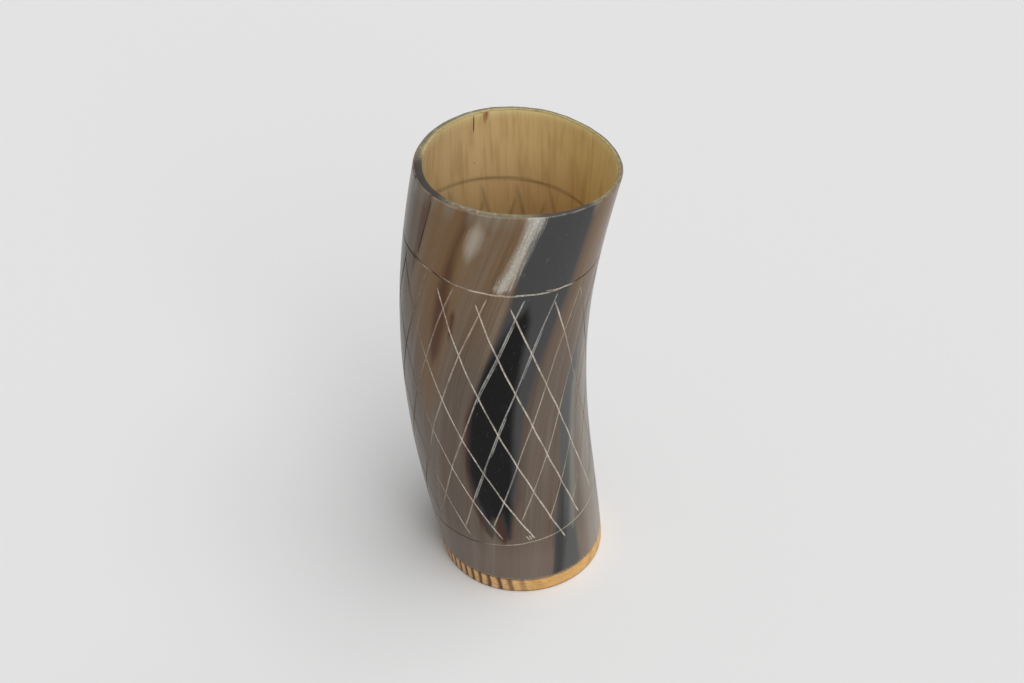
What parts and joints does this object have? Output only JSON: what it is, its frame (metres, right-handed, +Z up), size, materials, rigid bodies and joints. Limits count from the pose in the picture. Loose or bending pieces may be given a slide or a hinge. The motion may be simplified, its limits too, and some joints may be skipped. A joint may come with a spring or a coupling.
{
  "type": "horn drinking cup",
  "caption": "Tall bowed horn drinking cup with a carved diamond band between two rings, closed at the foot by a glued wooden plug.",
  "frame": {"origin": "middle of the underside of the wooden plug, on the surface that the cup stands on", "axes": "+Z up through the mouth, +X towards the hollow side of the horn's bow, -Y to the front"},
  "size_m": [0.0732, 0.0667, 0.1709],
  "materials": {
    "horn": "polished cow horn, streaked",
    "wood": "oiled softwood",
    "glue": "set resin glue"
  },
  "bodies": {
    "root": {"horn_body": "horn", "base_plug": "wood", "glue_seam": "glue"}
  },
  "joints": []
}
